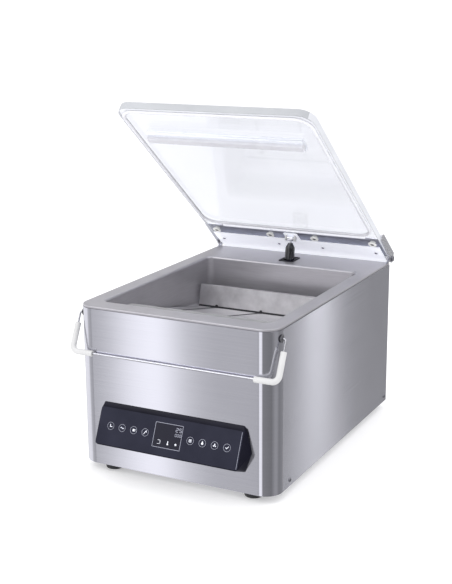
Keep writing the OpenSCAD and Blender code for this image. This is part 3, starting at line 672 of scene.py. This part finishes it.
def lid_rail():
    """The channel on the panel's rear edge, with the strut's pad; the channel has a painted glow, and its
    outer leaf a darker copy of the steel for painted shade.
    """
    outer, inner, bend = LID_OUT + RAIL_T / 2, LID_IN - RAIL_T / 2, 1.0
    line = ([(-63, outer)] + arc(outer - bend, outer - bend, bend, 90, 0, 6)
            + arc(outer - bend, inner + bend, bend, 0, -90, 6) + [(-46, inner)])
    rail = along_x(folded(line, RAIL_T), -RAIL_HALF, RAIL_HALF)
    pad = slab(rounded_rect(-13, -69, 13, -44, (3,) * 4, 6), LID_IN - RAIL_T, LID_IN, 0.3)
    fold = piece("rail", joined(rail, pad), LID, "rail", "lid", ["lid_rail"], edge=0.2)
    fold.data.materials.append(M["leaf"])
    # the outer leaf takes the darker copy of the steel: painted shade
    for face in fold.data.polygons:
        face.material_index = int((LID.inverted() @ face.center).z > LID_IN)


def lid_fixings():
    bolts = []
    for x in BOLT_X:
        top = LID_OUT + RAIL_T + (ARM_T if abs(x) > ARM_X else 0)
        bolt = lathe([(0, -2), (2.6, -2), (2.9, -1.7), (2.9, top), (5, top), (5, top + 0.8), (4.5, top + 2),
                      (3.4, top + 2.8), (2, top + 3), (1.7, top + 2.9), (1.7, top + 1.4), (0, top + 1.4)])
        bolts.append(moved(bolt, shift(x, -BOLT_S, 0)))
    bush = turned_ring([(4.53, 9), (4.53, -3), (6.9, -3), (7.3, -3.3), (7.3, -4.3), (6.6, -5), (3.6, -5),
                        (3.2, -4.6), (3.2, 9)])
    # painted shade: a black disc in each bush's bore, below the bolt's end, stands in for the shadow in the
    # hole
    core = lathe([(0, -4.4), (2.9, -4.4), (3.15, -4.1), (3.15, -2.2), (0, -2.2)])
    bushes, cores = ([moved(shape, shift(x, -BOLT_S, 0)) for x in BOLT_X] for shape in (bush, core))
    piece("lid_bolts", joined(*bolts), LID, "bright", "lid", ["rail_bolts"])
    # the bushes' material glows a little: painted glow
    piece("lid_bushes", joined(*bushes), LID, "nylon", "lid", ["bolt_bushes"])
    piece("bush_shade_cores", joined(*cores), LID, "black", "lid")
    heads = [shift(x, -SCREW_S, LID_IN - RAIL_T) @ turn(180, "X") for x in SCREW_X]
    screws("flange_screws", heads, 3.0, 1.0, LID, "wire", "lid", ["rail_screws"])


# ---------------------------------------------------------------- gas strut

def strut_pieces():
    """The strut's tube, tapered at its upper end, and the eye that it hangs from."""
    r = (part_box("strut_cylinder")[1].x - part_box("strut_cylinder")[0].x) / MM / 2
    eye = moved(lathe([(0, -5.5), (3.9, -5.5), (4.4, -5), (4.4, 5), (3.9, 5.5), (0, 5.5)]), turn(90, "Y"))
    neck = lathe([(0, -9), (3.4, -9), (3.4, -6.2), (2.8, -5.6), (2.8, -3), (0, -3)])
    body = lathe([(0, -118), (r - 2.2, -118), (r - 0.8, -117.2), (r - 0.3, -116), (r - 0.3, -112), (r, -111),
                  (r, -17), (r - 0.4, -15), (r - 1.6, -12.6), (r - 3.2, -10.2), (4.4, -8.2), (4, -7.6),
                  (0, -7.6)])
    lips = [turned_ring([(r - 0.4, z - 0.9), (r + 0.1, z - 0.5), (r + 0.1, z + 0.5), (r - 0.4, z + 0.9)])
            for z in (-24, -29)]
    piece("strut_tube", joined(body, *lips), STRUT, "gloss_black", "strut_cylinder",
          ["strut_cylinder"])
    piece("strut_fitting", joined(eye, neck), STRUT, "bright", "strut_cylinder")


# ---------------------------------------------------------------- bail

SLEEVE_START, SLEEVE_END = (BAIL_HALF, -18), (135, -BAIL_ARM)


def in_bail(points):
    """(x, z) points put in the bail's plane."""
    return [Vector((x, 0, z)) for x, z in points]


def bail_line():
    """Half of the wire: in through the bushing, down the arm, round the bend, to the crossbar's middle."""
    hook, low = 4.0, -BAIL_ARM
    return ([(158, 0), (163, 0)] + arc(BAIL_HALF - hook, -hook, hook, 90, 0, 10)
            + [SLEEVE_START, (BAIL_HALF, -35)]
            + arc(BAIL_HALF - BAIL_BEND, low + BAIL_BEND, BAIL_BEND, 0, -90, 18)
            + [(148, low), SLEEVE_END, (70, low), (0, low)])


def pipe(path, outer, inner):
    """A hollow round bar along 3-D points."""
    sides = 28
    skin, bore = tube(path, outer, sides)[0], tube(path, inner, sides)[0]
    n = len(path)
    rings = [skin[i * sides:(i + 1) * sides] for i in range(n)]
    rings += [bore[i * sides:(i + 1) * sides] for i in reversed(range(n))]
    return loft(rings, close=True)


def bail_pieces():
    half = bail_line()
    whole = half + [(-x, z) for x, z in reversed(half[:-1])]
    piece("wire_bail", tube(in_bail(whole), 1.5, 20), BAIL, "wire", "bail", ["bail_wire"])
    sleeve = in_bail(half[half.index(SLEEVE_START):half.index(SLEEVE_END) + 1])
    piece("corner_sleeves", mirrored(pipe(sleeve, SLEEVE_R, 1.6)), BAIL, "sleeve", "bail",
          ["bail_sleeves"], edge=0.5)


# ---------------------------------------------------------------- control panel

KEY_X = [-98, -78, -58, -38, 38, 58, 78, 98]
KEY_Y = -28.5
KEY_PRINT = 1.40, 1.46              # heights between which the signs lie on the keys
FACE_PRINT = 1.0, 1.05              # and the digits and lines on the membrane and the display
DISPLAY_HALF, DISPLAY_TOP, DISPLAY_LOW = 23, -10, -46


def housing():
    """A sloped face on a six-sided foot, as the hull of their outlines."""
    to_body = BODY.inverted() @ FACE
    points = [to_body @ Vector((x, y, z)) for z, step in ((0, 1.2), (-0.35, 0.35), (-1.2, 0))
              for x, y in rounded_rect(-FACE_HALF + step, -FACE_LEN + step, FACE_HALF - step, -step,
                                       (6 - step,) * 4, 5)]
    for (x, z), (dx, dz) in zip(((119, 104), (129, 64), (119, 33)), ((-2.5, -2.5), (-1.5, 0), (-2.5, 2.5))):
        points += [Vector((s * (x + dx * a), y, z + dz * b)) for s in (-1, 1) for y in (0, -0.4)
                   for a, b in ((1, 0), (0.3, 0.3), (0, 1))]
    bm = bmesh.new()
    for p in points:
        bm.verts.new(p)
    bmesh.ops.convex_hull(bm, input=bm.verts)
    bmesh.ops.delete(bm, geom=[v for v in bm.verts if not v.link_faces], context="VERTS")
    bmesh.ops.dissolve_limit(bm, angle_limit=math.radians(0.5), verts=bm.verts, edges=bm.edges)
    bm.verts.index_update()
    shape = [v.co.copy() for v in bm.verts], [tuple(v.index for v in f.verts) for f in bm.faces]
    bm.free()
    return shape


def stroke(points, width, print_z=KEY_PRINT):
    """A flat printed line through points."""
    bars = []
    for (x0, y0), (x1, y1) in zip(points, points[1:]):
        length = math.hypot(x1 - x0, y1 - y0)
        bar = block(-width / 2, -width / 2, print_z[0], length + width / 2, width / 2, print_z[1])
        bars.append(moved(bar, shift(x0, y0, 0) @ Matrix.Rotation(math.atan2(y1 - y0, x1 - x0), 4, "Z")))
    return joined(*bars)


def disc(x, y, r, print_z=KEY_PRINT):
    low, high = print_z
    return moved(lathe([(0, low), (r, low), (r, high), (0, high)], 24), shift(x, y, 0))


def hoop(r, width):
    low, high = KEY_PRINT
    return turned_ring([(r - width, low), (r, low), (r, high), (r - width, high)], 40)


def patch(x, y):
    """A printed rectangle round the origin, from its half sizes."""
    return block(-x, -y, KEY_PRINT[0], x, y, KEY_PRINT[1])


def glyphs():
    """Eight plain signs: hands of a clock, a wave, a bag, a slanted arrow, stop, a drop, a fan, a tick."""
    wave = [(-2.6 + 0.52 * i, 0.9 * math.sin(0.62 * i)) for i in range(11)]
    frame_line = [(-1.8, -1.8), (-1.8, 1.8), (1.8, 1.8), (1.8, -1.8), (-1.8, -1.8)]
    return [
        stroke([(-0.8, 2.4), (-0.8, -0.8), (2.2, -0.8)], 1.0),
        stroke(wave, 0.8),
        joined(patch(1.5, 1.7), stroke([(2.6, 1.7), (2.6, -1.7)], 0.5)),
        stroke([(-1.9, -2.6), (1.5, 2.8), (1.9, 0.2)], 0.8),
        joined(stroke(frame_line, 0.6), patch(0.8, 0.8)),
        joined(disc(0, -0.7, 1.7), stroke([(0, 2.6), (-1.1, 0.2)], 0.7), stroke([(0, 2.6), (1.1, 0.2)], 0.7)),
        joined(*[moved(disc(0, 1.7, 0.9), turn(a, "Z")) for a in (0, 120, 240)], disc(0, 0, 0.6)),
        stroke([(-2.0, 0.0), (-0.5, -1.6), (2.3, 1.8)], 0.8),
    ]


SEGMENTS = {"0": "abcdef", "2": "abged", "5": "afgcd"}


def digit(sign, x, y, wide, high, width):
    """A seven-segment digit, its lower left corner at (x, y)."""
    g = width * 0.7
    mid = high / 2
    lines = {"a": ((g, high), (wide - g, high)), "b": ((wide, high - g), (wide, mid + g)),
             "c": ((wide, mid - g), (wide, g)), "d": ((g, 0), (wide - g, 0)), "e": ((0, mid - g), (0, g)),
             "f": ((0, high - g), (0, mid + g)), "g": ((g, mid), (wide - g, mid))}
    return joined(*[stroke([(x + a, y + b) for a, b in lines[k]], width, FACE_PRINT) for k in SEGMENTS[sign]])


def fascia_prints():
    """The display's three symbols, and in grey its digits, its outline and a painted highlight: a line at the
    right end for the light on the fascia's right edge.
    """
    bag = [(-15, -35.4), (-11.6, -35.4), (-10.6, -37), (-10.6, -39.4), (-11.8, -41), (-15, -41)]
    bar = stroke([(-1.1, 0), (1.1, 0)], 1.2, FACE_PRINT)
    marks = [stroke(bag, 0.5, FACE_PRINT), stroke([(2, -35.6), (2, -38)], 1.2, FACE_PRINT),
             disc(2, -39.6, 1.3, FACE_PRINT)]
    marks += [moved(bar, shift(15.4, -38.2, 0) @ turn(a, "Z")) for a in (0, 90)]
    piece("display_marks", joined(*marks), FACE, "print", "root")
    # painted highlight: a light grey line near the right end only, for the highlight on the fascia's right
    # bevel
    edge = FACE_HALF - 3.6
    outline = [(-DISPLAY_HALF, DISPLAY_TOP), (DISPLAY_HALF, DISPLAY_TOP), (DISPLAY_HALF, DISPLAY_LOW),
               (-DISPLAY_HALF, DISPLAY_LOW), (-DISPLAY_HALF, DISPLAY_TOP)]
    numbers = [digit(sign, 12.2 + 5.6 * i, -19.6, 3.4, 5.4, 0.75) for i, sign in enumerate("25")]
    numbers += [digit(sign, 11.8 + 3.8 * i, -26.6, 2.3, 3.8, 0.55) for i, sign in enumerate("000")]
    lines = [stroke([(edge, -3.4), (edge, -55.6)], 0.5, (1.0, 1.04)), stroke(outline, 0.6, FACE_PRINT)]
    piece("fascia_lines", joined(*lines, *numbers), FACE, "line", "root")


def panel_pieces():
    piece("panel_shell", housing(), BODY, "black", "root", ["panel_housing"], angle=30)
    fascia_prints()
    cap = [(0, -4), (2.5, -4), (2.5, 0.6), (5.9, 0.6), (6, 0.75), (6, 1.1), (5.9, 1.3), (5.6, 1.38), (0, 1.4)]
    for i, (x, sign) in enumerate(zip(KEY_X, glyphs()), start=1):
        body, place = f"key_{i}", shift(x, KEY_Y, 0)
        piece(f"keycap_{i}", moved(lathe(cap), place), FACE, "slate", body, [body])
        label = piece(f"key_sign_{i}", moved(joined(hoop(5.75, 0.42), sign), place), FACE, "print", body)
        label.data.materials.append(M["line"])
        for face in label.data.polygons:
            spot = FACE.inverted() @ face.center
            face.material_index = int(math.hypot(spot.x - x, spot.y - KEY_Y) > 5)


# ---------------------------------------------------------------- rear

HOOD_L, HOOD_END = 90, 0.8


def rear_pieces():
    """The louvres' hoods, closed at both ends, and the screws of the rear panel and of the inlet."""
    outer = [(BODY_D, 5.4)]
    outer += [(BODY_D + 3.4 * math.sin(a), 1.2 + 4.2 * math.cos(a)) for a in quarter(5)[1:]]
    inner = [(BODY_D + 2.7, 1.2)]
    inner += [(BODY_D + 2.7 * math.sin(a), 1.2 + 3.5 * math.cos(a)) for a in reversed(quarter(5)[:-1])]
    cheek = outer + [(BODY_D, 1.2)]
    hoods = []
    for z in range(120, 205, 12):
        for x in (-110, 20):
            hoods.append(moved(along_x(outer + inner, x, x + HOOD_L), shift(0, 0, z)))
            for end in (x, x + HOOD_L - HOOD_END):
                hoods.append(moved(along_x(cheek, end, end + HOOD_END), shift(0, 0, z)))
    piece("louvre_hoods", joined(*hoods), BODY, "steel", "root")
    places = [shift(x, BODY_D, z) @ turn(-90, "X") for x in (-152, 152) for z in (16, 126, 236)]
    screws("rear_screws", places, 3.2, 1.5, BODY, "bright", "root", shank=3.0)
    inlet = [shift(x, BODY_D + 3, 42) @ turn(-90, "X") for x in (-120, -80)]
    screws("inlet_screws", inlet, 2.4, 0.9, BODY, "zinc", "root", shank=3.0)


casing_shell()
chamber_pan()
chamber_shade_strips()
fittings()
clear_lid()
lid_rail()
lid_fixings()
strut_pieces()
bail_pieces()
panel_pieces()
rear_pieces()
for name, material, edge in (
    ("base_plate", "zinc", 0.3), ("rear_panel", "steel", 0.3), ("suction_baffle", "plates", 0.3),
    ("filler_plates", "plates", 0.4), ("seal_cylinders", "aluminium", 0.5), ("hinge_ears", "steel", 0.3),
    ("hinge_pins", "zinc", 0.5), ("strut_bezel", "black", 0.4), ("strut_base", "zinc", 0.3),
    ("bail_bushings", "bushing", 0.3), ("panel_fascia", "slate", 0.25),
    ("display_window", "glass_black", 0.15), ("control_board", "board", 0.2), ("pump_body", "cast", 1.0),
    ("pump_motor", "paint", 0.5), ("fan_cover", "paint", 0.4), ("oil_sight", "sight", 0.4),
    ("exhaust_filter", "filter", 1.0), ("transformer_core", "zinc", 0.4), ("transformer_coil", "copper", 1.0),
    ("valve_block", "aluminium", 0.6), ("vacuum_hose", "hose", 0.0), ("power_inlet", "black", 0.4),
    ("switch_bezel", "black", 0.4), ("rocker_switch", "red", 0.4), ("motor_shaft", "bright", 0.5),
    ("motor_fan", "black", 0.4), ("pump_rotor", "steel", 0.4), ("seal_bar", "aluminium", 0.5),
    ("seal_element", "tape", 0.0), ("seal_pistons", "bright", 0.4), ("counter_bar", "bar", 0.4),
    ("counter_strip", "strip", 0.5), ("hinge_arms", "aluminium", 0.3), ("strut_bracket", "white", 0.3),
    ("strut_rod", "bright", 0.2),
):
    dress(name, material, edge)


# ---------------------------------------------------------------- floor, light and camera

def stage_floor():
    corners = [(-60, -60), (60, -60), (60, 60), (-60, 60)]
    floor = new_object("floor", loft([[(x, y, z) for x, y in corners] for z in (-0.01, 0)]),
                       Matrix.Identity(4), glowing("floor", (0.82, 0.82, 0.82), 0.42))
    floor.visible_glossy = False


def area_light(name, place, width, height, power, reflected=True):
    """A lamp that faces the machine's middle."""
    data = bpy.data.lights.new(name, "AREA")
    data.shape = "RECTANGLE"
    data.size, data.size_y = width, height
    data.energy = power
    lamp = bpy.data.objects.new(name, data)
    lamp.location = place
    lamp.visible_glossy = reflected
    lamp.rotation_euler = (Vector((0, 0, 0.2)) - Vector(place)).to_track_quat("-Z", "Y").to_euler()
    bpy.context.scene.collection.objects.link(lamp)


# brightness round the horizon: degrees from the machine's front towards its right side, and a level
HORIZON = [(-180, 0.60), (-126, 0.54), (-119, 1.08), (-72, 1.08), (-58, 0.60), (-35.5, 0.48),
           (-34.2, 0.58), (-33.0, 0.94), (-32.2, 1.40), (-31.4, 1.66), (-30.7, 1.40), (-29.8, 0.86),
           (-28.9, 0.58), (-27.0, 0.64), (-25.0, 0.56), (-19, 0.50), (-15, 1.2), (-1, 1.2), (6, 0.30),
           (60, 0.24), (84, 0.40), (98, 0.40), (114, 0.28), (152, 0.34), (162, 0.34), (180, 0.60)]
BEAM_AT, BEAM_HALF = math.radians(157.27), math.radians(1.2)
BEAM_LIGHT, CEILING_LIGHT, PLAIN_LIGHT = (1.45, 1.45, 1.48, 1), (1.0, 1.0, 1.02, 1), (1.12, 1.12, 1.14, 1)


def maths(nodes, links, operation, *values):
    """A math node; each value is a number or another node's output."""
    node = nodes.new("ShaderNodeMath")
    node.operation = operation
    for socket, value in zip(node.inputs, values):
        if isinstance(value, float):
            socket.default_value = value
        else:
            links.new(value, socket)
    return node.outputs["Value"]


def mixed_colors(nodes, links, factor, first, second):
    """first where factor is 0, second where it is 1; each is a colour or another node's output."""
    node = nodes.new("ShaderNodeMix")
    node.data_type = "RGBA"
    links.new(factor, node.inputs["Factor"])
    for name, value in (("A", first), ("B", second)):
        if isinstance(value, tuple):
            node.inputs[name].default_value = value
        else:
            links.new(value, node.inputs[name])
    return node.outputs["Result"]


def studio_world():
    """Plain light, but reflections see a grey horizon with bright bands under a bright ceiling."""
    world = bpy.data.worlds.new("studio")
    bpy.context.scene.world = world
    world.use_nodes = True
    world.cycles.sampling_method = "NONE"
    nodes, links = world.node_tree.nodes, world.node_tree.links
    background = nodes["Background"]
    background.inputs["Strength"].default_value = 1.0
    direction = nodes.new("ShaderNodeTexCoord")
    parts = nodes.new("ShaderNodeSeparateXYZ")
    links.new(direction.outputs["Generated"], parts.inputs["Vector"])
    forward = maths(nodes, links, "MULTIPLY", parts.outputs["Y"], -1.0)
    azimuth = maths(nodes, links, "ARCTAN2", parts.outputs["X"], forward)
    ramp = nodes.new("ShaderNodeValToRGB")
    points = ramp.color_ramp.elements
    while len(points) < len(HORIZON):
        points.new(0.5)
    for point, (degrees, level) in zip(points, HORIZON):
        point.position = (degrees + 180) / 360
        point.color = (level, level, level * 1.02, 1)
    links.new(map_range(nodes, links, azimuth, -math.pi, math.pi), ramp.inputs["Fac"])
    # one narrow beam, finer than the ramp can hold
    away = maths(nodes, links, "ABSOLUTE", maths(nodes, links, "SUBTRACT", azimuth, BEAM_AT))
    beam = map_range(nodes, links, away, 0.0, BEAM_HALF, 1.0, 0.0, "SMOOTHSTEP")
    banded = mixed_colors(nodes, links, beam, ramp.outputs["Color"], BEAM_LIGHT)
    ceiling = map_range(nodes, links, parts.outputs["Z"], 0.35, 0.75, curve="SMOOTHSTEP")
    reflected = mixed_colors(nodes, links, ceiling, banded, CEILING_LIGHT)
    rays = nodes.new("ShaderNodeLightPath")
    light = mixed_colors(nodes, links, rays.outputs["Is Glossy Ray"], PLAIN_LIGHT, reflected)
    links.new(light, background.inputs["Color"])


def camera():
    data = bpy.data.cameras.new("camera")
    data.sensor_fit = "AUTO"
    data.sensor_width = 36.0
    data.lens = 71.1
    data.clip_end = 400.0
    eye = bpy.data.objects.new("camera", data)
    yaw, pitch, roll = (math.radians(a) for a in (27.42, 14.55, -0.44))
    look = Vector((-math.sin(yaw) * math.cos(pitch), math.cos(yaw) * math.cos(pitch), -math.sin(pitch)))
    right = Vector((math.cos(yaw), math.sin(yaw), 0))
    up = right.cross(look)
    rolled_right = right * math.cos(roll) + up * math.sin(roll)
    rolled_up = up * math.cos(roll) - right * math.sin(roll)
    eye.matrix_world = Matrix.Translation((0.8050, -1.6077, 0.7133)) @ Matrix(
        (rolled_right, rolled_up, -look)).transposed().to_4x4()
    bpy.context.scene.collection.objects.link(eye)
    bpy.context.scene.camera = eye


stage_floor()
studio_world()
area_light("key", (-1.1, -1.5, 2.0), 1.4, 1.4, 13)
area_light("fill", (1.9, -0.9, 1.3), 1.2, 1.6, 5)
area_light("top", (0.2, 0.5, 2.4), 1.8, 1.2, 12, reflected=False)
camera()
bpy.context.scene.view_settings.view_transform = "Standard"
